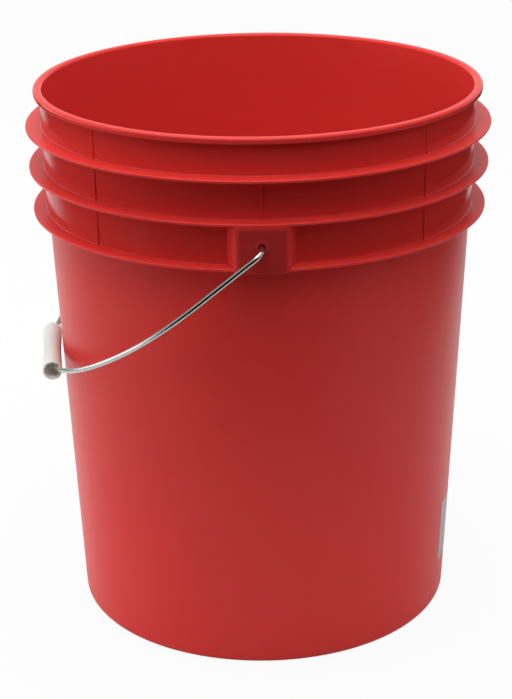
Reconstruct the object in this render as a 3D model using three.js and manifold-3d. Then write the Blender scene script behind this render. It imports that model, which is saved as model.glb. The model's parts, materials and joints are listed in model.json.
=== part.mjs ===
// A 19 litre plastic pail: a moulded body, a wire bail hooked into its two ears, a tubular grip, a label.
// Millimetres, +Z up. The origin is the middle of the foot, on the floor, and the bail turns about Y.
import * as THREE from "three";
import { mergeVertices } from "three/addons/utils/BufferGeometryUtils.js";
import Module from "manifold-3d";

const wasm = await Module();
wasm.setup();

// Pail body: a tapered wall with a straighter collar above it.
const pailHeight = 374.7;
const wall = 2.3;
const footRadius = 131.2; // outside of the wall where the bottom corner ends
const wallFlare = 13.4; // how much wider the tapered wall is under the lowest flange
const collarStep = 1; // how much the collar stands out from it there
const collarFlare = 1.6; // how much wider the collar gets up to the rim
const roundSides = 64;

// Rim bead that a lid snaps over.
const rimOverhang = 4.1;
const rimWidth = 6;
const rimDepth = 4;
const rimOuterRound = 1.8;
const rimInnerRound = 2;

// Three flanges round the collar: how far each stands out, and its underside below the top of the rim.
const topFlangeReach = 10.76;
const topFlangeDrop = 26.9;
const middleFlangeReach = 10.21;
const middleFlangeDrop = 54.7;
const lowFlangeReach = 9.2;
const lowFlangeDrop = 84.3;
const flangeThickness = 2;
const flangeRound = 0.7;

// The inside opens a little, level with the middle flange.
const innerStepRise = 3;
const innerStepRamp = 4;
const innerStep = 0.4;

// Bottom: a foot ring, with the floor raised inside it and a gate mark in the middle.
const bottomCorner = 6;
const footWidth = 12.2;
const floorRise = 3;
const floorRamp = 3.5;
const floorThickness = 2.6;
const gateDimpleRadius = 9;
const gateDimpleDepth = 0.8;
const gateStubRadius = 2.2;
const gateStubLength = 0.5;

// Thin upright ribs between the flanges.
const ribThickness = 0.9;
const ribDepth = 1;
const ribTurns = [45.6, 134.4, 225.6, 314.4];
const earRibTurns = [0, 180];

// Ears: a skirt hanging from the middle flange, hollow behind its face and open below.
const earReach = 11.4; // from the bottom of the collar out to the flat face
const earHalfWidth = 16.8;
const earRootHalfWidth = 18.5;
const earCorner = 3.4;
const earBelow = 0.2; // under the lowest flange
const earPlate = 2.7;
const earSide = 2.6;
const earPocketRoot = 0.9; // thickness that stays on the collar inside the pocket
const pivotDrop = 12.5; // below the middle flange
const holeClearance = 1.1;
const bossWidth = 2.3;
const bossProud = 0.6;

// Bail: one bent wire, drawn in its own plane with s away from the pivots and t along them.
const wireDiameter = 3.5;
const bailDrop = 38.95; // degrees below level at rest, with the grip against the wall
const hookGap = 2; // between the turned-in tip and the back of the ear's face
const hookLength = 8.6; // from the pivot axis to the end of the tip
const hookBend = 3;
const elbowBend = 6.5;
const legGap = 13.6; // from the ear's face to the middle of the leg
const shoulderBend = 107;
const bowBulge = 14.6; // how far the bow would reach past the legs
const wireSides = 10;

// Grip: a waisted tube, loose on the bow and slid towards one side.
const gripLength = 94;
const gripWall = 1.35;
const gripWaist = 0.6; // how much slimmer the middle is, on the radius
const gripEndRound = 0.5;
const gripSlide = -6.6; // degrees round the bow
const gripClearance = 1.1; // between the bowed wire and the bore, at rest
const gripRestGap = 1.7; // between the waist and the wall, at rest
const gripSides = 28;

// Label: a thin rectangle wrapped on the wall near the foot.
const labelTurn = 85.5; // degrees from -Y towards +X
const labelWidth = 74;
const labelHeight = 45;
const labelMiddle = 56.5;
const labelCorner = 3;
const labelThickness = 0.25;
const labelGap = 0.3;

const degrees = Math.PI / 180;
const rimUnder = pailHeight - rimDepth;
const collarBottom = pailHeight - lowFlangeDrop;
const wallTopRadius = footRadius + wallFlare;
const collarLowRadius = wallTopRadius + collarStep;
const collarTopRadius = collarLowRadius + collarFlare;
const rimRadius = collarTopRadius + rimOverhang;
const footInnerRadius = footRadius - footWidth;
const flanges = [
  { reach: topFlangeReach, under: pailHeight - topFlangeDrop },
  { reach: middleFlangeReach, under: pailHeight - middleFlangeDrop },
  { reach: lowFlangeReach, under: collarBottom },
];
const earFlange = flanges[1];
const innerStepHeight = earFlange.under + innerStepRise;
const pivotHeight = earFlange.under - pivotDrop;
const earFace = collarLowRadius + earReach;
const earBottom = collarBottom - earBelow;
const holeDiameter = wireDiameter + holeClearance;
const bossDiameter = holeDiameter + 2 * bossWidth;
const hookOffset = earFace - earPlate - hookGap - wireDiameter / 2;
const legOffset = earFace + legGap;
const bowRadius = legOffset + bowBulge;
const gripRise = gripLength ** 2 / (8 * bowRadius); // of the bowed wire inside the straight grip
const gripBore = wireDiameter + gripRise + gripClearance;
const gripEnd = gripBore / 2 + gripWall;
const gripDistance = bowRadius - gripRise / 2; // of the grip's axis from the middle of the bow

// Outside radius of the wall at a height, taper below the lowest flange and collar above it.
function outsideAt(z) {
  if (z <= collarBottom) {
    return THREE.MathUtils.mapLinear(z, bottomCorner, collarBottom, footRadius, wallTopRadius);
  }
  return THREE.MathUtils.mapLinear(z, collarBottom, rimUnder, collarLowRadius, collarTopRadius);
}

// Inside radius of the tapered wall, which runs on past the lowest flange up to the inner step.
function insideAt(z) {
  return THREE.MathUtils.mapLinear(z, bottomCorner, collarBottom, footRadius, wallTopRadius) - wall;
}

// The corner points of a quarter or other arc, ends included.
function arc(x, y, radius, from, to, steps) {
  const points = [];
  for (let i = 0; i <= steps; i += 1) {
    const angle = (from + ((to - from) * i) / steps) * degrees;
    points.push(new THREE.Vector2(x + radius * Math.cos(angle), y + radius * Math.sin(angle)));
  }
  return points;
}

// A closed geometry as a manifold solid, with shared corners merged and collapsed faces dropped.
function toSolid(geometry, matrix = new THREE.Matrix4()) {
  const bare = new THREE.BufferGeometry();
  bare.setAttribute("position", geometry.getAttribute("position"));
  bare.setIndex(geometry.index);
  const merged = mergeVertices(bare.applyMatrix4(matrix), 1e-4);
  const corners = merged.index.array;
  const triVerts = [];
  for (let i = 0; i < corners.length; i += 3) {
    const [a, b, c] = corners.slice(i, i + 3);
    if (a !== b && b !== c && c !== a) {
      triVerts.push(a, b, c);
    }
  }
  return new wasm.Manifold(
    new wasm.Mesh({
      numProp: 3,
      vertProperties: new Float32Array(merged.getAttribute("position").array),
      triVerts: new Uint32Array(triVerts),
    }),
  );
}

// A manifold solid back as geometry.
function toGeometry(solid) {
  const mesh = solid.getMesh();
  const geometry = new THREE.BufferGeometry();
  geometry.setAttribute("position", new THREE.BufferAttribute(mesh.vertProperties, 3));
  geometry.setIndex(new THREE.BufferAttribute(mesh.triVerts, 1));
  geometry.computeVertexNormals();
  return geometry;
}

// A revolved solid that stands on +Z.
function revolve(points, sides) {
  return new THREE.LatheGeometry(points, sides).rotateX(Math.PI / 2);
}

// Turns about +Z, in degrees from -Y towards +X.
function turned(angle) {
  return new THREE.Matrix4().makeRotationZ(angle * degrees);
}

// The edge of one flange, from its root below to its root on top.
function flangeOutline({ reach, under }) {
  const radius = outsideAt(under) + reach;
  const top = under + flangeThickness;
  return [
    new THREE.Vector2(outsideAt(under), under),
    new THREE.Vector2(radius - flangeRound, under),
    new THREE.Vector2(radius, under + flangeRound),
    ...arc(radius - flangeRound, top - flangeRound, flangeRound, 0, 90, 2),
    new THREE.Vector2(outsideAt(top), top),
  ];
}

// The rim bead, from under its outer lip over the top to its inner edge.
function rimOutline() {
  const inner = rimRadius - rimWidth;
  return [
    new THREE.Vector2(collarTopRadius, rimUnder),
    new THREE.Vector2(rimRadius - flangeRound, rimUnder),
    new THREE.Vector2(rimRadius, rimUnder + flangeRound),
    ...arc(rimRadius - rimOuterRound, pailHeight - rimOuterRound, rimOuterRound, 0, 90, 3),
    ...arc(inner + rimInnerRound, pailHeight - rimInnerRound, rimInnerRound, 90, 180, 3),
  ];
}

// Underside and outside of the bottom, from the gate mark out to the wall.
function undersideOutline() {
  const dimple = floorRise + gateDimpleDepth;
  return [
    new THREE.Vector2(0, dimple - gateStubLength),
    new THREE.Vector2(gateStubRadius, dimple - gateStubLength),
    new THREE.Vector2(gateStubRadius, dimple),
    new THREE.Vector2(gateDimpleRadius - gateDimpleDepth, dimple),
    new THREE.Vector2(gateDimpleRadius, floorRise),
    new THREE.Vector2(footInnerRadius - floorRamp, floorRise),
    new THREE.Vector2(footInnerRadius, 0),
    ...arc(footRadius - bottomCorner, bottomCorner, bottomCorner, -90, 0, 5),
  ];
}

// Inside, from under the rim down to the middle of the floor.
function insideOutline() {
  const corner = bottomCorner - wall;
  const grooveRadius = footInnerRadius + wall;
  return [
    new THREE.Vector2(insideAt(innerStepHeight) + innerStep, innerStepHeight + innerStepRamp),
    new THREE.Vector2(insideAt(innerStepHeight), innerStepHeight),
    ...arc(footRadius - wall - corner, floorThickness + corner, corner, 0, -90, 3),
    new THREE.Vector2(grooveRadius, floorThickness),
    new THREE.Vector2(grooveRadius - floorRamp, floorThickness + floorRise),
    new THREE.Vector2(0, floorThickness + floorRise),
  ];
}

function bodyShell() {
  const outline = [
    ...undersideOutline(),
    ...flangeOutline(flanges[2]),
    ...flangeOutline(flanges[1]),
    ...flangeOutline(flanges[0]),
    ...rimOutline(),
    ...insideOutline(),
  ];
  return toSolid(revolve(outline, roundSides));
}

// One rib in a bay, sunk a little into the collar and the flanges round it.
function rib(angle, bottom, top) {
  const sink = 0.5;
  const inner = outsideAt(bottom) - sink;
  const outer = outsideAt(top) + ribDepth;
  const box = new THREE.BoxGeometry(ribThickness, outer - inner, top - bottom + 2 * sink);
  box.translate(0, -(inner + outer) / 2, (bottom + top) / 2);
  return toSolid(box, turned(angle));
}

// Bays between the flanges and the rim, from the lowest up.
function bays() {
  const tops = [flanges[1].under, flanges[0].under, rimUnder];
  return tops.map((top, i) => [flanges[2 - i].under + flangeThickness, top]);
}

function ribs() {
  const all = bays().flatMap(([bottom, top]) => ribTurns.map((angle) => rib(angle, bottom, top)));
  const [bottom, top] = bays()[1];
  return all.concat(earRibTurns.map((angle) => rib(angle, bottom, top)));
}

// Plan of an ear on the -Y side: its root follows the collar and its front corners are rounded.
function earPlan(rootRadius, faceOffset, halfWidth, rootHalfWidth, corner) {
  const reach = Math.asin(rootHalfWidth / rootRadius);
  const plan = new THREE.Shape();
  plan.absarc(0, 0, rootRadius, -Math.PI / 2 + reach, -Math.PI / 2 - reach, true);
  plan.lineTo(-halfWidth, -(faceOffset - corner));
  plan.quadraticCurveTo(-halfWidth, -faceOffset, -(halfWidth - corner), -faceOffset);
  plan.lineTo(halfWidth - corner, -faceOffset);
  plan.quadraticCurveTo(halfWidth, -faceOffset, halfWidth, -(faceOffset - corner));
  plan.closePath();
  return plan;
}

function earBlock() {
  const top = earFlange.under + flangeThickness;
  const plan = earPlan(collarLowRadius - wall / 3, earFace, earHalfWidth, earRootHalfWidth, earCorner);
  const block = new THREE.ExtrudeGeometry(plan, {
    depth: top - earBottom - 2 * flangeRound,
    bevelThickness: flangeRound,
    bevelSize: flangeRound,
    bevelOffset: -flangeRound,
    bevelSegments: 2,
    curveSegments: 4,
  });
  return toSolid(block.translate(0, 0, earBottom + flangeRound));
}

// The space behind the face: open below, closed by the middle flange above.
function earPocket() {
  const below = 5;
  const plan = earPlan(
    collarLowRadius + earPocketRoot,
    earFace - earPlate,
    earHalfWidth - earSide,
    earRootHalfWidth - earSide,
    earCorner / 2,
  );
  const pocket = new THREE.ExtrudeGeometry(plan, {
    depth: earFlange.under - earBottom + below,
    bevelEnabled: false,
    curveSegments: 4,
  });
  return toSolid(pocket.translate(0, 0, earBottom - below));
}

// A round bar along Y at the pivot height, between two distances from the pail's axis.
function pivotBar(diameter, from, to) {
  const bar = new THREE.CylinderGeometry(diameter / 2, diameter / 2, to - from, 24);
  return toSolid(bar.translate(0, -(from + to) / 2, pivotHeight));
}

function pailBody() {
  let body = bodyShell();
  const boss = pivotBar(bossDiameter, earFace - earPlate / 2, earFace + bossProud);
  for (const angle of earRibTurns) {
    body = body.add(earBlock().rotate([0, 0, angle]));
    body = body.add(boss.rotate([0, 0, angle]));
  }
  for (const one of ribs()) {
    body = body.add(one);
  }
  const hole = pivotBar(holeDiameter, earFace - 2 * earPlate, earFace + earPlate);
  for (const angle of earRibTurns) {
    body = body.subtract(earPocket().rotate([0, 0, angle]));
    body = body.subtract(hole.rotate([0, 0, angle]));
  }
  return toGeometry(body);
}

// A line of stations along a path, with more of them where it bends.
class BentLine extends THREE.Curve {
  constructor(stations) {
    super();
    this.stations = stations;
  }
  getPointAt(u, target = new THREE.Vector3()) {
    return target.copy(this.stations[Math.round(u * (this.stations.length - 1))].point);
  }
  getTangentAt(u, target = new THREE.Vector3()) {
    return target.copy(this.stations[Math.round(u * (this.stations.length - 1))].tangent);
  }
}

// Stations round an arc in the bail's plane, both ends included, angles in degrees.
function arcStations(s, t, radius, from, to, steps) {
  const side = Math.sign(to - from);
  return arc(s, t, radius, from, to, steps).map((place, i) => {
    const angle = (from + ((to - from) * i) / steps) * degrees;
    return {
      point: new THREE.Vector3(place.x, place.y, 0),
      tangent: new THREE.Vector3(-Math.sin(angle) * side, Math.cos(angle) * side, 0),
    };
  });
}

// Distance of the grip's middle from the pivots, with its waist hanging beside the wall.
function gripReach(offset) {
  let reach = wallTopRadius;
  for (let i = 0; i < 8; i += 1) {
    const height = pivotHeight - reach * Math.sin(bailDrop * degrees);
    const clear = outsideAt(height) + gripRestGap + gripEnd - gripWaist;
    reach = Math.sqrt(clear ** 2 - offset ** 2) / Math.cos(bailDrop * degrees);
  }
  return reach;
}

// Half of the wire, from the tip inside one ear to the start of the bow.
function bailHalf(shoulderStart, shoulderTurn) {
  const tip = {
    point: new THREE.Vector3(-hookLength, -hookOffset, 0),
    tangent: new THREE.Vector3(1, 0, 0),
  };
  const elbowOffset = legOffset - elbowBend;
  const shoulderOffset = legOffset - shoulderBend;
  const shoulder = arcStations(shoulderStart, -shoulderOffset, shoulderBend, -90, -90 + shoulderTurn, 6);
  return [
    tip,
    ...arcStations(-hookBend, -hookOffset - hookBend, hookBend, 90, 0, 4),
    ...arcStations(elbowBend, -elbowOffset, elbowBend, 180, 270, 5),
    ...shoulder.slice(0, -1),
  ];
}

// Whole path of the wire: hook, elbow, straight leg, shoulder, bow, and back down the other side.
function bailPath(bowCentre) {
  const inset = legOffset - shoulderBend;
  const centreDistance = bowRadius - shoulderBend;
  const ahead = Math.sqrt(centreDistance ** 2 - inset ** 2);
  const shoulderTurn = Math.atan2(ahead, inset) / degrees;
  const half = bailHalf(bowCentre + ahead, shoulderTurn);
  const mirrored = half.map(({ point, tangent }) => ({
    point: new THREE.Vector3(point.x, -point.y, 0),
    tangent: new THREE.Vector3(-tangent.x, tangent.y, 0),
  }));
  const bow = arcStations(bowCentre, 0, bowRadius, -90 + shoulderTurn, 90 - shoulderTurn, 28);
  return new BentLine([...half, ...bow, ...mirrored.reverse()]);
}

function bailWire(bowCentre) {
  const section = new THREE.Shape();
  section.absarc(0, 0, wireDiameter / 2, 0, 2 * Math.PI);
  const path = bailPath(bowCentre);
  return new THREE.ExtrudeGeometry(section, {
    steps: path.stations.length - 1,
    extrudePath: path,
    curveSegments: wireSides / 2,
  });
}

// Outer form of the grip: rounded ends and a gentle waist in the middle.
function grip() {
  const half = gripLength / 2;
  const bore = gripBore / 2;
  const points = [new THREE.Vector2(bore, -half), new THREE.Vector2(gripEnd - gripEndRound, -half)];
  const rings = 10;
  for (let i = 0; i <= rings; i += 1) {
    const along = (2 * i) / rings - 1;
    const hollow = gripWaist * (0.5 + 0.5 * Math.cos(Math.PI * along));
    points.push(new THREE.Vector2(gripEnd - hollow, along * (half - gripEndRound)));
  }
  points.push(new THREE.Vector2(gripEnd - gripEndRound, half));
  points.push(new THREE.Vector2(bore, half));
  points.push(new THREE.Vector2(bore, -half));
  return new THREE.LatheGeometry(points, gripSides);
}

// A thin wrap on the wall, cut to a rectangle with round corners.
function label() {
  const low = labelMiddle - labelHeight;
  const high = labelMiddle + labelHeight;
  const inner = labelGap;
  const outer = labelGap + labelThickness;
  const wrap = toSolid(
    revolve(
      [
        new THREE.Vector2(outsideAt(low) + inner, low),
        new THREE.Vector2(outsideAt(low) + outer, low),
        new THREE.Vector2(outsideAt(high) + outer, high),
        new THREE.Vector2(outsideAt(high) + inner, high),
        new THREE.Vector2(outsideAt(low) + inner, low),
      ],
      roundSides,
    ),
  );
  const x = labelWidth / 2;
  const y = labelHeight / 2;
  const outline = new THREE.Shape();
  outline.absarc(x - labelCorner, y - labelCorner, labelCorner, 0, Math.PI / 2);
  outline.absarc(-x + labelCorner, y - labelCorner, labelCorner, Math.PI / 2, Math.PI);
  outline.absarc(-x + labelCorner, -y + labelCorner, labelCorner, Math.PI, 1.5 * Math.PI);
  outline.absarc(x - labelCorner, -y + labelCorner, labelCorner, 1.5 * Math.PI, 2 * Math.PI);
  const cutter = new THREE.ExtrudeGeometry(outline, {
    depth: rimRadius,
    bevelEnabled: false,
    curveSegments: 4,
  });
  cutter.rotateX(Math.PI / 2).translate(0, 0, labelMiddle);
  return toGeometry(wrap.intersect(toSolid(cutter, turned(labelTurn))));
}

function named(name, geometry, color, roughness, metalness) {
  const material = new THREE.MeshStandardMaterial({ color, roughness, metalness });
  const mesh = new THREE.Mesh(geometry, material);
  mesh.name = name;
  return mesh;
}

const pail = new THREE.Group();
pail.add(named("pail_body", pailBody(), 0xc8201e, 0.35, 0));
pail.add(named("label", label(), 0xb9b1b0, 0.6, 0));

// The bowed wire lies across the grip's bore without touching it, and the bow's middle follows from that.
const gripAngle = gripSlide * degrees;
const gripPlace = new THREE.Vector3(0, gripDistance * Math.sin(gripAngle), 0);
gripPlace.x = gripReach(gripPlace.y);
const bowMiddle = gripPlace.x - gripDistance * Math.cos(gripAngle);

const bail = new THREE.Group();
bail.position.z = pivotHeight;
bail.rotation.y = Math.PI - bailDrop * degrees;
bail.add(named("bail_wire", bailWire(bowMiddle), 0xb8babb, 0.3, 1));
const gripMesh = named("grip", grip(), 0xf1efe9, 0.5, 0);
gripMesh.position.copy(gripPlace);
gripMesh.rotation.z = gripAngle;
bail.add(gripMesh);
pail.add(bail);

export default pail;
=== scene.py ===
# A red moulded pail with a wire bail, on a white table. Metres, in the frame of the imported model.
import json
import math

import bmesh
import bpy
from mathutils import Matrix, Vector


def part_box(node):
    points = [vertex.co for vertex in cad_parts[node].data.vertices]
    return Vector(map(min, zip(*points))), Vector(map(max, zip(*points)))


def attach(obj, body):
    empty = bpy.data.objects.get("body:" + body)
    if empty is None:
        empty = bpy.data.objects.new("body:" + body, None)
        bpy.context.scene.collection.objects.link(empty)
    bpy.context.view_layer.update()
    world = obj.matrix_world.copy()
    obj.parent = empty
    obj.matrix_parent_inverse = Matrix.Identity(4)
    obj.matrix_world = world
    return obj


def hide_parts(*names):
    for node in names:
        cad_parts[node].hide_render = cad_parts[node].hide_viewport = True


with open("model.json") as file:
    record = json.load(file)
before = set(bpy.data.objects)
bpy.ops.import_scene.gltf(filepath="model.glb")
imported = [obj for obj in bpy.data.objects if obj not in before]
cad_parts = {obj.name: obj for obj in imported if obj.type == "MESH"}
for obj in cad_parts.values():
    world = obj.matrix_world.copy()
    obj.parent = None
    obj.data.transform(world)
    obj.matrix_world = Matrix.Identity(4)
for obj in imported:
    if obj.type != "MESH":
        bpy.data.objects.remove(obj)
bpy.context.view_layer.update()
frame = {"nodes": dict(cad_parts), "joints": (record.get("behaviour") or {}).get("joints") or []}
scene = bpy.context.scene
mm = 0.001
tiny, near = 0.01 * mm, 1 * mm  # margins for picking edges and vertices
print("frame loaded:", sorted(frame["nodes"]))


# Small helpers

def hexColour(code):  # sRGB hex to linear RGBA
    parts = [int(code[i:i + 2], 16) / 255 for i in (1, 3, 5)]
    return (*[c / 12.92 if c <= 0.04045 else ((c + 0.055) / 1.055) ** 2.4 for c in parts], 1.0)


def addNode(tree, kind, settings, inputs):  # a value or another node's socket goes into each named input
    node = tree.nodes.new(kind)
    for name, value in settings.items():
        setattr(node, name, value)
    for name, value in inputs.items():
        if isinstance(value, bpy.types.NodeSocket):
            tree.links.new(value, node.inputs[name])
        else:
            node.inputs[name].default_value = value
    return node


def newMaterial(name):
    material = bpy.data.materials.new(name)
    material.use_nodes = True
    tree = material.node_tree
    tree.nodes.clear()
    return material, tree


def finishMaterial(tree, shader):
    addNode(tree, "ShaderNodeOutputMaterial", {}, {"Surface": shader})


def addObject(name, bm, material=None):
    mesh = bpy.data.meshes.new(name)
    bm.to_mesh(mesh)
    bm.free()
    piece = bpy.data.objects.new(name, mesh)
    scene.collection.objects.link(piece)
    if material:
        mesh.materials.append(material)
    return piece


def applyModifiers(piece):
    graph = bpy.context.evaluated_depsgraph_get()
    baked = bpy.data.meshes.new_from_object(piece.evaluated_get(graph))
    piece.modifiers.clear()
    piece.data = baked


def combine(piece, tool, operation):  # joins or cuts with another closed mesh, which is then removed
    modifier = piece.modifiers.new(operation.lower(), "BOOLEAN")
    modifier.operation = operation
    modifier.solver = "EXACT"
    modifier.object = tool
    applyModifiers(piece)
    bpy.data.objects.remove(tool)


def smooth(piece, sharpAngle):
    mesh = piece.data
    mesh.polygons.foreach_set("use_smooth", [True] * len(mesh.polygons))
    mesh.set_sharp_from_angle(angle=math.radians(sharpAngle))


def arcPoints(x, z, radius, start, end, steps):  # angles in degrees, both ends included
    turns = [math.radians(start + (end - start) * i / steps) for i in range(steps + 1)]
    return [(x + radius * math.cos(a), z + radius * math.sin(a)) for a in turns]


def lerp(value, fromLow, fromHigh, toLow, toHigh):
    return toLow + (toHigh - toLow) * (value - fromLow) / (fromHigh - fromLow)


def spinOutline(outline, steps):  # a revolved mesh about +Z
    bm = bmesh.new()
    chain = [bm.verts.new((r, 0, z)) for r, z in outline]
    edges = [bm.edges.new(pair) for pair in zip(chain, chain[1:])]
    bmesh.ops.spin(
        bm, geom=chain + edges, cent=(0, 0, 0), axis=(0, 0, 1), angle=2 * math.pi, steps=steps,
        use_merge=True,
    )
    same = 0.0005 * mm
    bmesh.ops.remove_doubles(bm, verts=bm.verts, dist=same)
    bmesh.ops.dissolve_degenerate(bm, dist=same, edges=bm.edges)
    bmesh.ops.recalc_face_normals(bm, faces=bm.faces)
    return bm


# Camera, at the photograph's viewing angle

cameraView = {
    "target": Vector((0, 0, 180 * mm)),
    "distance": 1370.5 * mm,
    "elevation": 21.35,
    "azimuth": -0.45,
    "roll": -0.78,
    "lens": 99.2,
    "sensor": 36,
    "shift": (-0.0076, -0.0018),
}


def makeCamera():
    data = bpy.data.cameras.new("camera")
    data.sensor_width = cameraView["sensor"]
    data.lens = cameraView["lens"]
    data.shift_x, data.shift_y = cameraView["shift"]
    data.clip_start = 0.05
    data.clip_end = 50
    camera = bpy.data.objects.new("camera", data)
    scene.collection.objects.link(camera)
    azimuth, elevation = math.radians(cameraView["azimuth"]), math.radians(cameraView["elevation"])
    level = math.cos(elevation)
    back = Vector((math.sin(azimuth) * level, -math.cos(azimuth) * level, math.sin(elevation)))
    roll = Matrix.Rotation(math.radians(cameraView["roll"]), 3, "Z")
    turn = (-back).to_track_quat("-Z", "Y").to_matrix() @ roll
    place = cameraView["target"] + back * cameraView["distance"]
    camera.matrix_world = Matrix.Translation(place) @ turn.to_4x4()
    scene.camera = camera


makeCamera()
print("camera placed")


# Small node helpers for the materials and the studio

def remap(tree, value, span, result=(0, 1)):  # span becomes result, and its ends hold
    return addNode(
        tree, "ShaderNodeMapRange", {},
        {"Value": value, "From Min": span[0], "From Max": span[1], "To Min": result[0], "To Max": result[1]},
    ).outputs[0]


def calculate(tree, operation, *values):
    return addNode(tree, "ShaderNodeMath", {"operation": operation}, dict(enumerate(values))).outputs[0]


def noise(tree, place, size, detail):  # its spots are about size across
    inputs = {"Vector": place, "Scale": 1 / size, "Detail": detail}
    return addNode(tree, "ShaderNodeTexNoise", {}, inputs).outputs["Fac"]


def blend(tree, amount, colour, other):  # the other colour where amount is 1
    inputs = {"Factor": amount, 6: colour, 7: other}
    return addNode(tree, "ShaderNodeMix", {"data_type": "RGBA"}, inputs).outputs[2]


def relief(tree, height, strength, depth):
    inputs = {"Height": height, "Strength": strength, "Distance": depth}
    return addNode(tree, "ShaderNodeBump", {}, inputs).outputs[0]


def objectPlace(tree):
    return addNode(tree, "ShaderNodeTexCoord", {}, {}).outputs["Object"]


def split(tree, vector):
    parts = addNode(tree, "ShaderNodeSeparateXYZ", {}, {"Vector": vector}).outputs
    return parts["X"], parts["Y"], parts["Z"]


def finishPrincipled(tree, inputs):
    shader = addNode(tree, "ShaderNodeBsdfPrincipled", {}, inputs)
    finishMaterial(tree, shader.outputs[0])


# Materials

moulding = {
    "flowSize": 80 * mm,
    "sheenSize": 35 * mm,
    "peelSize": 3 * mm,
    "peelDepth": 0.02 * mm,
    "satin": (0.285, 0.345),
    "polished": (0.13, 0.19),
    "collarEdge": (145.2 * mm, 145.6 * mm),
    # the ears' faces get a painted shade within these spans
    "earAcross": (18 * mm, 14 * mm),
    "earOutward": (150 * mm, 154 * mm),
    "earTop": (320 * mm, 317 * mm),
}


def earShadeMask(tree, place):  # 1 on the ears' faces, where they get a painted shade, from their half width, reach and height
    x, y, z = split(tree, place)
    across = remap(tree, calculate(tree, "ABSOLUTE", x), moulding["earAcross"])
    outward = remap(tree, calculate(tree, "ABSOLUTE", y), moulding["earOutward"])
    below = remap(tree, z, moulding["earTop"])
    return calculate(tree, "MULTIPLY", calculate(tree, "MULTIPLY", across, outward), below)


def collarMask(tree, place):  # 1 on the outside of the collar, its flanges, ears and rim
    flat = addNode(tree, "ShaderNodeVectorMath", {"operation": "MULTIPLY"}, {0: place, 1: (1, 1, 0)})
    reach = addNode(tree, "ShaderNodeVectorMath", {"operation": "LENGTH"}, {0: flat.outputs[0]})
    return remap(tree, reach.outputs["Value"], moulding["collarEdge"])


def polyethylene():
    # High-density polyethylene, injection moulded: a waxy semi-gloss that is never quite even.
    # The pigment drifts as the melt fills the mould, and the ear plates' faces get a darker colour, a
    # painted shade.
    # The tool is polished for the collar's outside and satin, with a soft orange peel, for the rest.
    material, tree = newMaterial("moulded polyethylene")
    place = objectPlace(tree)
    flow = noise(tree, place, moulding["flowSize"], 3)
    colour = blend(tree, flow, hexColour("#d43531"), hexColour("#db3834"))
    # painted shade: the ear plates' faces are darkened towards #ab2b29
    earShadedColour = blend(tree, earShadeMask(tree, place), colour, hexColour("#ab2b29"))
    sheen = noise(tree, place, moulding["sheenSize"], 1)
    satin = remap(tree, sheen, (0, 1), moulding["satin"])
    polished = remap(tree, sheen, (0, 1), moulding["polished"])
    rough = addNode(tree, "ShaderNodeMix", {}, {"Factor": collarMask(tree, place), 2: satin, 3: polished})
    peel = noise(tree, place, moulding["peelSize"], 1)
    finishPrincipled(tree, {
        "Base Color": earShadedColour, "Roughness": rough.outputs[0],
        "Normal": relief(tree, peel, 0.1, moulding["peelDepth"]), "IOR": 1.54, "Specular IOR Level": 0.145,
        "Subsurface Weight": 0.08, "Subsurface Radius": (1.0, 0.15, 0.1), "Subsurface Scale": 3 * mm,
    })
    return material


def zincPlatedSteel():
    # Low-carbon steel wire, drawn and zinc plated: bright, with faint lines along its length.
    material, tree = newMaterial("zinc plated steel wire")
    drawn = addNode(tree, "ShaderNodeAttribute", {"attribute_name": "drawn"}, {}).outputs["Vector"]
    stretch = (4, 4, 1 / (25 * mm))
    stretched = addNode(tree, "ShaderNodeMapping", {}, {"Vector": drawn, "Scale": stretch}).outputs[0]
    lines = noise(tree, stretched, 1, 3)
    finishPrincipled(tree, {
        "Base Color": blend(tree, lines, hexColour("#b0b4af"), hexColour("#c8ccc6")), "Metallic": 1,
        "Roughness": remap(tree, lines, (0.3, 0.7), (0.14, 0.26)),
        "Normal": relief(tree, lines, 0.2, 0.02 * mm),
    })
    return material


def whitePolypropylene():
    # Natural white polypropylene, injection moulded: soft sheen, see-through enough to light its bore.
    material, tree = newMaterial("moulded polypropylene")
    place = objectPlace(tree)
    cloud = noise(tree, place, 12 * mm, 2)
    grain = noise(tree, place, 0.6 * mm, 1)
    finishPrincipled(tree, {
        "Base Color": blend(tree, cloud, hexColour("#d7ddd5"), hexColour("#e1e7df")), "Roughness": 0.42,
        "Normal": relief(tree, grain, 0.2, 0.02 * mm), "IOR": 1.49, "Subsurface Weight": 0.7,
        "Subsurface Radius": (1.0, 0.95, 0.85), "Subsurface Scale": 4 * mm,
    })
    return material


def labelFilm():
    # Plain polypropylene label film: pale grey, satin, with the faint ripple of its adhesive.
    material, tree = newMaterial("label film")
    ripple = noise(tree, objectPlace(tree), 5 * mm, 2)
    finishPrincipled(tree, {
        "Base Color": blend(tree, ripple, hexColour("#aea8aa"), hexColour("#b8b2b4")), "Roughness": 0.4,
        "Normal": relief(tree, ripple, 0.3, 0.05 * mm), "IOR": 1.49,
    })
    return material


# Pail body: a revolved moulding with ears, ribs and holes

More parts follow.
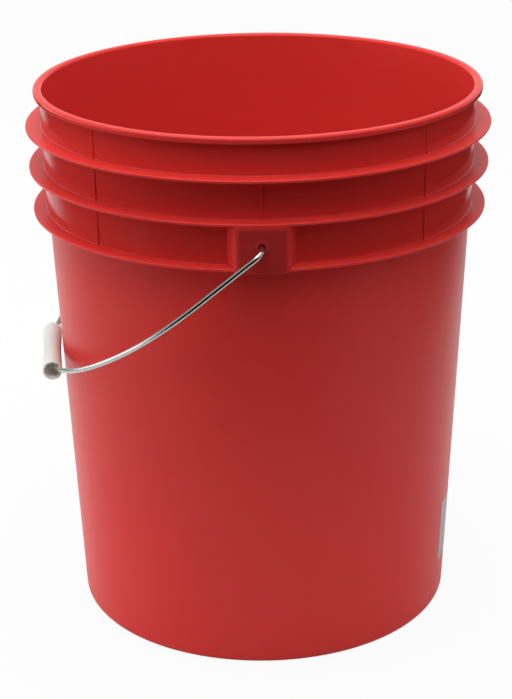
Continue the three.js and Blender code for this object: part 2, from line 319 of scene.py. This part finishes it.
pail = {
    "height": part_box("pail_body")[1].z,
    "wall": 2.3 * mm,
    "footRadius": 131.2 * mm,
    "wallTopRadius": 144.6 * mm,
    "collarLowRadius": 145.6 * mm,
    "collarTopRadius": 147.2 * mm,
    "rimRadius": 151.3 * mm,
    "rimWidth": 6 * mm,
    "rimDepth": 4 * mm,
    "rimOuterRound": 1.8 * mm,
    "rimInnerRound": 2 * mm,
    "rimEdge": 0.6 * mm,
    "flanges": [(154.8 * mm, 290.4 * mm), (156.4 * mm, 320 * mm), (157.5 * mm, 347.8 * mm)],
    "flangeThickness": 2 * mm,
    "flangeRound": 0.8 * mm,
    "rootFillet": 0.6 * mm,
    "underFlange": 6 * mm,
    "innerStepHeight": 323 * mm,
    "innerStepRamp": 4 * mm,
    "innerStep": 0.4 * mm,
    "corner": 6 * mm,
    "footInner": 119 * mm,
    "footBevelIn": 0.4 * mm,
    "footBevelOut": 0.3 * mm,
    "footBevelRise": 0.2 * mm,
    "floorRise": 3 * mm,
    "floorRamp": 3.5 * mm,
    "floorThickness": 2.6 * mm,
    "gateRadius": 9 * mm,
    "gateDepth": 0.8 * mm,
    "gateStub": 2.2 * mm,
    "gateStubLength": 0.5 * mm,
    "gateStubDraft": 0.3 * mm,
    "steps": 240,
    "sharpAngle": 34,
}
collarBottom = pail["flanges"][0][1]
rimUnder = pail["height"] - pail["rimDepth"]


def outsideAt(z):  # outer radius of the wall
    if z <= collarBottom:
        return lerp(z, pail["corner"], collarBottom, pail["footRadius"], pail["wallTopRadius"])
    return lerp(z, collarBottom, rimUnder, pail["collarLowRadius"], pail["collarTopRadius"])


def insideAt(z):  # inner radius of the tapered wall
    return lerp(z, pail["corner"], collarBottom, pail["footRadius"], pail["wallTopRadius"]) - pail["wall"]


def flangeOutline(radius, under):
    top, edge, fillet = under + pail["flangeThickness"], pail["flangeRound"], pail["rootFillet"]
    below = under - pail["underFlange"]
    return [
        (outsideAt(below), below),
        *arcPoints(outsideAt(under) + fillet, under - fillet, fillet, 180, 90, 3),
        *arcPoints(radius - edge, under + edge, edge, -90, 0, 3),
        *arcPoints(radius - edge, top - edge, edge, 0, 90, 3),
        *arcPoints(outsideAt(top) + fillet, top + fillet, fillet, 270, 180, 3),
    ]


def rimOutline():
    edge, outer, inner = pail["rimEdge"], pail["rimOuterRound"], pail["rimInnerRound"]
    mouth = pail["rimRadius"] - pail["rimWidth"]
    return [
        *arcPoints(pail["collarTopRadius"] + edge, rimUnder - edge, edge, 180, 90, 3),
        *arcPoints(pail["rimRadius"] - edge, rimUnder + edge, edge, -90, 0, 3),
        *arcPoints(pail["rimRadius"] - outer, pail["height"] - outer, outer, 0, 90, 6),
        *arcPoints(mouth + inner, pail["height"] - inner, inner, 90, 180, 6),
    ]


def bottomOutline():
    dimple = pail["floorRise"] + pail["gateDepth"]
    return [
        (0, dimple - pail["gateStubLength"]),
        (pail["gateStub"] - pail["gateStubDraft"], dimple - pail["gateStubLength"]),
        (pail["gateStub"], dimple),
        (pail["gateRadius"] - pail["gateDepth"], dimple),
        (pail["gateRadius"], pail["floorRise"]),
        (pail["footInner"] - pail["floorRamp"], pail["floorRise"]),
        (pail["footInner"] - pail["footBevelIn"], pail["footBevelRise"]),
        (pail["footInner"] + pail["footBevelOut"], 0),
        *arcPoints(pail["footRadius"] - pail["corner"], pail["corner"], pail["corner"], -90, 0, 10),
    ]


def insideOutline():
    corner = pail["corner"] - pail["wall"]
    groove = pail["footInner"] + pail["wall"]
    step = pail["innerStepHeight"]
    cornerCentre = pail["footRadius"] - pail["corner"]
    return [
        (insideAt(step) + pail["innerStep"], step + pail["innerStepRamp"]),
        (insideAt(step), step),
        *arcPoints(cornerCentre, pail["floorThickness"] + corner, corner, 0, -90, 8),
        (groove, pail["floorThickness"]),
        (groove - pail["floorRamp"], pail["floorThickness"] + pail["floorRise"]),
        (0, pail["floorThickness"] + pail["floorRise"]),
    ]


ear = {
    "face": 157 * mm,
    "root": 144.2 * mm,
    "halfWidth": 16.4 * mm,
    "rootHalfWidth": 21.5 * mm,
    "cornerRound": 4.5 * mm,
    "edgeRound": 0.7 * mm,
    "bottom": 290.2 * mm,
    "plate": 2.7 * mm,
    "side": 3 * mm,
    "pocketRoot": 146.6 * mm,
    "pocketBelow": 5 * mm,
    "holeDiameter": 4.6 * mm,
    "bossDiameter": 9.2 * mm,
    "bossProud": 0.6 * mm,
    "bossRound": 0.3 * mm,
    "pivot": frame["joints"][0]["pos_m"][2],
}
rib = {
    "thickness": 1.2 * mm,
    "depth": 0.3 * mm,
    "earDepth": 0.6 * mm,
    "sink": 0.6 * mm,
    "round": 0.28 * mm,
    "turns": [45.6, 134.4, 225.6, 314.4],
}
earTurns = [0, 180]


def placeAround(bm, part, angle):  # adds a part made on the front side, turned about the pail's axis
    turn = Matrix.Rotation(math.radians(angle), 3, "Z")
    bmesh.ops.recalc_face_normals(part, faces=part.faces)
    bmesh.ops.rotate(part, verts=part.verts, cent=(0, 0, 0), matrix=turn)
    mesh = bpy.data.meshes.new("part")
    part.to_mesh(mesh)
    part.free()
    bm.from_mesh(mesh)
    bpy.data.meshes.remove(mesh)


def addPrism(bm, corners, low, high):  # a block on a plan outline
    face = bm.faces.new([bm.verts.new((x, y, low)) for x, y in corners])
    lifted = bmesh.ops.extrude_face_region(bm, geom=[face])["geom"]
    top = [v for v in lifted if isinstance(v, bmesh.types.BMVert)]
    bmesh.ops.translate(bm, verts=top, vec=(0, 0, high - low))


def roundEdges(bm, edges, offset, segments):
    bmesh.ops.bevel(
        bm, geom=edges, offset=offset, offset_type="OFFSET", affect="EDGES", segments=segments, profile=0.5,
        material=-1, clamp_overlap=True,
    )


def earPlan(face, root, halfWidth, rootHalfWidth):
    return [(-rootHalfWidth, -root), (-halfWidth, -face), (halfWidth, -face), (rootHalfWidth, -root)]


def isUpright(edge):  # taller than any of the rounds
    low, high = edge.verts[0].co, edge.verts[1].co
    return abs(low.z - high.z) > 5 * near


def earBlocks():
    bm = bmesh.new()
    top = pail["flanges"][1][1] + pail["flangeThickness"]
    plan = earPlan(ear["face"], ear["root"], ear["halfWidth"], ear["rootHalfWidth"])
    for turn in earTurns:
        block = bmesh.new()
        addPrism(block, plan, ear["bottom"], top)
        front = [e for e in block.edges if isUpright(e) and e.verts[0].co.y < -(ear["face"] - near)]
        roundEdges(block, front, ear["cornerRound"], 8)
        level = [e for e in block.edges if abs(e.verts[0].co.z - e.verts[1].co.z) < tiny]
        outer = [e for e in level if min(v.co.y for v in e.verts) < -(ear["root"] + near)]
        roundEdges(block, outer, ear["edgeRound"], 3)
        placeAround(bm, block, turn)
    return bm


def makeRib(bottom, top, depth):
    bm = bmesh.new()
    inner, outer = outsideAt(bottom) - rib["sink"], outsideAt(top) + depth
    size = (rib["thickness"], outer - inner, top - bottom + 2 * rib["sink"])
    middle = Matrix.Translation((0, -(inner + outer) / 2, (bottom + top) / 2))
    bmesh.ops.create_cube(bm, size=1, matrix=middle @ Matrix.Diagonal((*size, 1)))
    front = [e for e in bm.edges if isUpright(e) and e.verts[0].co.y < -(outer - near)]
    roundEdges(bm, front, rib["round"], 3)
    return bm


def bays():
    ledges = [under for radius, under in pail["flanges"]] + [rimUnder]
    return [(low + pail["flangeThickness"], high) for low, high in zip(ledges, ledges[1:])]


def ribBoxes(turns, spans, depth):
    bm = bmesh.new()
    for bottom, top in spans:
        for turn in turns:
            placeAround(bm, makeRib(bottom, top, depth), turn)
    return bm


def pivotBars(diameter, start, end, steps, edge):  # round bars along Y, one through each ear
    bm = bmesh.new()
    lie = Matrix.Translation((0, -(start + end) / 2, ear["pivot"])) @ Matrix.Rotation(math.pi / 2, 4, "X")
    for turn in earTurns:
        bar = bmesh.new()
        bmesh.ops.create_cone(
            bar, cap_ends=True, segments=steps, radius1=diameter / 2, radius2=diameter / 2,
            depth=end - start, matrix=lie,
        )
        if edge:
            outer = [e for e in bar.edges if all(abs(v.co.y + end) < tiny for v in e.verts)]
            roundEdges(bar, outer, edge, 3)
        placeAround(bm, bar, turn)
    return bm


def earPockets():
    bm = bmesh.new()
    plan = earPlan(
        ear["face"] - ear["plate"], ear["pocketRoot"], ear["halfWidth"] - ear["side"],
        ear["rootHalfWidth"] - ear["side"],
    )
    for turn in earTurns:
        pocket = bmesh.new()
        addPrism(pocket, plan, ear["bottom"] - ear["pocketBelow"], pail["flanges"][1][1])
        placeAround(bm, pocket, turn)
    return bm


def makePail(material):
    outline = bottomOutline()
    for radius, under in pail["flanges"]:
        outline += flangeOutline(radius, under)
    outline += rimOutline() + insideOutline()
    body = addObject("pailBody", spinOutline(outline, pail["steps"]))
    combine(body, addObject("ear blocks", earBlocks()), "UNION")
    combine(body, addObject("ribs", ribBoxes(rib["turns"], bays(), rib["depth"])), "UNION")
    combine(body, addObject("ear ribs", ribBoxes(earTurns, bays()[1:2], rib["earDepth"])), "UNION")
    start, end = ear["face"] - ear["plate"] / 2, ear["face"] + ear["bossProud"]
    bosses = pivotBars(ear["bossDiameter"], start, end, 48, ear["bossRound"])
    combine(body, addObject("bosses", bosses), "UNION")
    combine(body, addObject("pockets", earPockets()), "DIFFERENCE")
    start, end = ear["face"] - 2 * ear["plate"], ear["face"] + ear["plate"]
    holes = pivotBars(ear["holeDiameter"], start, end, 40, 0)
    combine(body, addObject("holes", holes), "DIFFERENCE")
    body.data.materials.clear()
    body.data.materials.append(material)
    smooth(body, pail["sharpAngle"])
    weighted = body.modifiers.new("weighted normals", "WEIGHTED_NORMAL")
    weighted.keep_sharp = True
    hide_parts("pail_body")
    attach(body, "pail")


makePail(polyethylene())
print("pail moulded")


# Bail: one wire, bent step by step from the tip in the front ear to the tip in the back one

bail = {
    "diameter": 3.5 * mm,
    "drop": 38.95,  # degrees between the bow and straight down
    "hookOffset": 150.55 * mm,
    "hookLength": 8.6 * mm,
    "hookBend": 3 * mm,
    "elbowBend": 6.5 * mm,
    "legOffset": 170.5 * mm,
    "shoulderBend": 107 * mm,
    "bowRadius": 185.2 * mm,
    "bowCentre": 6.83 * mm,
    "sides": 28,
    "endRound": 0.35 * mm,
    "hookSteps": 10,
    "elbowSteps": 12,
    "shoulderSteps": 14,
    "bowSteps": 90,
    "sharpAngle": 40,
}


def bailMatrix():  # s runs away from the pivots and t along them
    turn = Matrix.Rotation(math.pi - math.radians(bail["drop"]), 4, "Y")
    return Matrix.Translation((0, 0, ear["pivot"])) @ turn


def bends():  # (straight run, bend radius, turn in degrees, steps) from one tip to the other
    inset = bail["legOffset"] - bail["shoulderBend"]
    ahead = math.sqrt((bail["bowRadius"] - bail["shoulderBend"]) ** 2 - inset ** 2)
    shoulderTurn = math.degrees(math.atan2(ahead, inset))
    stub = bail["legOffset"] - bail["elbowBend"] - bail["hookOffset"] - bail["hookBend"]
    leg = bail["bowCentre"] + ahead - bail["elbowBend"]
    tip = bail["hookLength"] - bail["hookBend"]
    hook = (bail["hookBend"], -90, bail["hookSteps"])
    elbow = (bail["elbowBend"], 90, bail["elbowSteps"])
    shoulder = (bail["shoulderBend"], shoulderTurn, bail["shoulderSteps"])
    bow = (bail["bowRadius"], 180 - 2 * shoulderTurn, bail["bowSteps"])
    front = [(tip, *hook), (stub, *elbow), (leg, *shoulder), (0, *bow)]
    back = [(0, *shoulder), (leg, *elbow), (stub, *hook), (tip, 0, 0, 0)]
    return front + back


def makeBail(material):
    bm = bmesh.new()
    drawn = bm.verts.layers.float_vector.new("drawn")
    place, heading = Vector((-bail["hookLength"], -bail["hookOffset"], 0)), Vector((1, 0, 0))
    lie = Matrix.Translation(place) @ Matrix.Rotation(math.pi / 2, 4, "Y")
    bmesh.ops.create_circle(bm, cap_ends=True, segments=bail["sides"], radius=bail["diameter"] / 2)
    for vert in bm.verts:
        vert[drawn] = (vert.co.x / bail["diameter"], vert.co.y / bail["diameter"], 0)
    bmesh.ops.transform(bm, matrix=lie, verts=bm.verts)
    bm.faces.ensure_lookup_table()
    tip = end = bm.faces[0]

    def advance(face, matrix, length):
        grown = bmesh.ops.extrude_face_region(bm, geom=[face])["geom"]
        ring = [v for v in grown if isinstance(v, bmesh.types.BMVert)]
        if face is not tip:
            bmesh.ops.delete(bm, geom=[face], context="FACES_ONLY")
        bmesh.ops.transform(bm, matrix=matrix, verts=ring)
        for vert in ring:
            vert[drawn] = vert[drawn] + Vector((0, 0, length))
        return next(f for f in grown if isinstance(f, bmesh.types.BMFace))

    for run, radius, turn, steps in bends():
        if run:
            end = advance(end, Matrix.Translation(heading * run), run)
            place = place + heading * run
        if steps:
            left = Vector((-heading.y, heading.x, 0))
            centre = place + left * radius * math.copysign(1, turn)
            small = math.radians(turn / steps)
            there, back = Matrix.Translation(centre), Matrix.Translation(-centre)
            around = there @ Matrix.Rotation(small, 4, "Z") @ back
            for _ in range(steps):
                end = advance(end, around, abs(small) * radius)
                place = around @ place
            heading = Matrix.Rotation(math.radians(turn), 3, "Z") @ heading
    roundEdges(bm, list(tip.edges) + list(end.edges), bail["endRound"], 3)
    bmesh.ops.recalc_face_normals(bm, faces=bm.faces)
    bmesh.ops.transform(bm, matrix=bailMatrix(), verts=bm.verts)
    wire = addObject("bailWire", bm, material)
    smooth(wire, bail["sharpAngle"])
    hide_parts("bail_wire")
    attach(wire, "bail")


makeBail(zincPlatedSteel())
print("bail bent")


# Grip: a waisted tube, loose on the bow and slid towards the front

grip = {
    "length": 94 * mm,
    "bore": 10.56 * mm,
    "endDiameter": 13.26 * mm,
    "waistDiameter": 12.06 * mm,
    "endRound": 0.55 * mm,
    "slide": -6.6,  # degrees along the bow from its middle
    "rings": 28,
    "steps": 64,
    "sharpAngle": 40,
}


def gripOutline():
    half, edge, bore = grip["length"] / 2, grip["endRound"], grip["bore"] / 2
    end = grip["endDiameter"] / 2
    waist = (grip["endDiameter"] - grip["waistDiameter"]) / 2
    side = []
    for i in range(1, grip["rings"]):
        along = lerp(i, 0, grip["rings"], -1, 1)
        side.append((end - waist * (0.5 + 0.5 * math.cos(math.pi * along)), along * (half - edge)))
    return [
        *arcPoints(bore + edge / 2, -half + edge / 2, edge / 2, 180, 270, 3),
        *arcPoints(end - edge, -half + edge, edge, -90, 0, 5),
        *side,
        *arcPoints(end - edge, half - edge, edge, 0, 90, 5),
        *arcPoints(bore + edge / 2, half - edge / 2, edge / 2, 90, 180, 3),
        (bore, -half + edge / 2),
    ]


def makeGrip(material):
    bm = spinOutline(gripOutline(), grip["steps"])
    rise = grip["length"] ** 2 / (8 * bail["bowRadius"])
    distance, angle = bail["bowRadius"] - rise / 2, math.radians(grip["slide"])
    centre = Vector((bail["bowCentre"] + distance * math.cos(angle), distance * math.sin(angle), 0))
    upright = Matrix.Rotation(-math.pi / 2, 4, "X")  # +Z of the turned tube to +Y of the bail
    place = bailMatrix() @ Matrix.Translation(centre) @ Matrix.Rotation(angle, 4, "Z") @ upright
    bmesh.ops.transform(bm, matrix=place, verts=bm.verts)
    bmesh.ops.recalc_face_normals(bm, faces=bm.faces)
    tube = addObject("gripTube", bm, material)
    smooth(tube, grip["sharpAngle"])
    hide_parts("grip")
    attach(tube, "grip")


makeGrip(whitePolypropylene())
print("grip threaded")


# Label: a thin rectangle of film, wrapped on the wall near the foot

label = {
    "turn": 85.5,  # degrees round the pail from the front
    "width": 75 * mm,
    "height": 46.5 * mm,
    "middle": 55.6 * mm,
    "corner": 3 * mm,
    "thickness": 0.2 * mm,
    "lift": 0.12 * mm,
    "segments": (37, 15),
    "cornerSteps": 8,
    "sharpAngle": 40,
}


def makeLabel(material):
    bm = bmesh.new()
    size = Matrix.Diagonal((label["width"] / 2, label["height"] / 2, 1, 1))
    across, up = label["segments"]
    bmesh.ops.create_grid(bm, x_segments=across, y_segments=up, size=1, matrix=size)
    corners = [v for v in bm.verts if len(v.link_edges) == 2]
    bmesh.ops.bevel(
        bm, geom=corners, offset=label["corner"], offset_type="OFFSET", affect="VERTICES",
        segments=label["cornerSteps"], profile=0.5, material=-1,
    )
    for vert in bm.verts:
        z = label["middle"] + vert.co.y
        radius = outsideAt(z) + label["lift"]
        turn = math.radians(label["turn"]) + vert.co.x / outsideAt(label["middle"])
        vert.co = (radius * math.sin(turn), -radius * math.cos(turn), z)
    bmesh.ops.recalc_face_normals(bm, faces=bm.faces)
    film = addObject("labelFilm", bm, material)
    solid = film.modifiers.new("film", "SOLIDIFY")
    solid.thickness = label["thickness"]
    solid.offset = 1
    applyModifiers(film)
    smooth(film, label["sharpAngle"])
    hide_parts("label")
    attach(film, "pail")


makeLabel(labelFilm())
print("label laid")


# Studio: a white table and backdrop in a darker studio, with soft lamps

studio = {
    "floorSize": 14,
    "floorDrop": 0.2 * mm,
    "tableShade": "#dcdcdc",
    "tableGlow": 0.93,
    "tableSides": (-0.84, 0.63),
    "tableFront": -0.47,
    "tableFade": 0.04,
    "darkShade": "#1c1c1c",
    "wallPlace": (0, -2.6, 1.0),
    "wallSize": (8, 2.0),
    "surround": "#ffffff",
    "ambient": 0.8,
    "skyFade": (0.08, 0.24),
    "skyShade": 0.5,
}
lamps = [
    # name, place, aim, width, height, watts
    ("overhead", (-0.35, 0.1, 2.1), (0, 0, 0.3), 2.2, 2.0, 19),
    ("low overhead", (-0.1, -0.2, 1.4), (0, 0, 0.3), 1.0, 1.0, 4.5),
    ("high front", (0.0, -1.3, 2.3), (0, 0, 0.3), 1.4, 1.0, 8),
    ("low left", (-1.6, 0.3, 0.3), (0, 0, 0.2), 2.0, 0.5, 7.4),
]


def tableMask(tree, place):  # 1 on the table, 0 on the dark floor beyond its sides and front edge
    x, y, _ = split(tree, place)
    fade, (left, right), front = studio["tableFade"], studio["tableSides"], studio["tableFront"]
    fromLeft = remap(tree, x, (left - fade, left + fade))
    fromRight = remap(tree, x, (right + fade, right - fade))
    fromFront = remap(tree, y, (front - fade, front + fade))
    return calculate(tree, "MULTIPLY", calculate(tree, "MULTIPLY", fromLeft, fromRight), fromFront)


def matt(tree, shade):
    return addNode(tree, "ShaderNodeBsdfDiffuse", {}, {"Color": hexColour(shade)}).outputs[0]


def mixShaders(tree, amount, shader, other):  # the other shader where amount is 1
    return addNode(tree, "ShaderNodeMixShader", {}, {0: amount, 1: shader, 2: other}).outputs[0]


def makeFloor():
    # The camera sees only white, with the object's shadow on it, and reflections see the table's edges.
    bm = bmesh.new()
    bmesh.ops.create_grid(bm, x_segments=1, y_segments=1, size=studio["floorSize"] / 2)
    bmesh.ops.translate(bm, verts=bm.verts, vec=(0, 0, -studio["floorDrop"]))
    material, tree = newMaterial("studio table")
    seen = addNode(tree, "ShaderNodeLightPath", {}, {}).outputs["Is Camera Ray"]
    table = matt(tree, studio["tableShade"])
    white = addNode(tree, "ShaderNodeEmission", {}, {"Color": hexColour(studio["surround"])}).outputs[0]
    real = mixShaders(tree, tableMask(tree, objectPlace(tree)), matt(tree, studio["darkShade"]), table)
    shown = mixShaders(tree, studio["tableGlow"], table, white)
    finishMaterial(tree, mixShaders(tree, seen, real, shown))
    addObject("floor", bm, material)


def makeWall():  # the dark end of the studio, behind the camera
    bm = bmesh.new()
    width, height = studio["wallSize"]
    stand = Matrix.Translation(studio["wallPlace"]) @ Matrix.Rotation(-math.pi / 2, 4, "X")
    size = Matrix.Diagonal((width / 2, height / 2, 1, 1))
    bmesh.ops.create_grid(bm, x_segments=1, y_segments=1, size=1, matrix=stand @ size)
    material, tree = newMaterial("dark studio wall")
    finishMaterial(tree, matt(tree, studio["darkShade"]))
    wall = addObject("studio wall", bm, material)
    wall.visible_camera = False


def surround(tree, strength):
    inputs = {"Color": hexColour(studio["surround"]), "Strength": strength}
    return addNode(tree, "ShaderNodeBackground", {}, inputs).outputs[0]


def makeSurround():
    # White for the camera and through clear parts, and soft light for the rest. Reflections find the
    # white backdrop up to its top edge, and a greyer studio above it.
    world = bpy.data.worlds.new("studio")
    scene.world = world
    world.use_nodes = True
    tree = world.node_tree
    tree.nodes.clear()
    rays = addNode(tree, "ShaderNodeLightPath", {}, {}).outputs
    direct = calculate(tree, "MAXIMUM", rays["Is Camera Ray"], rays["Is Transmission Ray"])
    shown = calculate(tree, "MAXIMUM", direct, rays["Is Glossy Ray"])
    incoming = addNode(tree, "ShaderNodeNewGeometry", {}, {}).outputs["Incoming"]
    low, high = studio["skyFade"]
    sky = remap(tree, split(tree, incoming)[2], (-high, -low), (studio["skyShade"], 1))
    soft = surround(tree, studio["ambient"])
    white = surround(tree, calculate(tree, "MAXIMUM", direct, sky))
    shader = mixShaders(tree, shown, soft, white)
    addNode(tree, "ShaderNodeOutputWorld", {}, {"Surface": shader})


def makeLamps():
    for name, place, aim, width, height, watts in lamps:
        data = bpy.data.lights.new(name, "AREA")
        data.shape = "RECTANGLE"
        data.size = width
        data.size_y = height
        data.energy = watts
        lamp = bpy.data.objects.new(name, data)
        scene.collection.objects.link(lamp)
        lamp.visible_camera = False
        lamp.location = place
        lamp.rotation_mode = "QUATERNION"
        lamp.rotation_quaternion = (Vector(aim) - Vector(place)).to_track_quat("-Z", "Y")


makeFloor()
makeWall()
makeSurround()
makeLamps()
scene.view_settings.view_transform = "Standard"
print("studio lit")
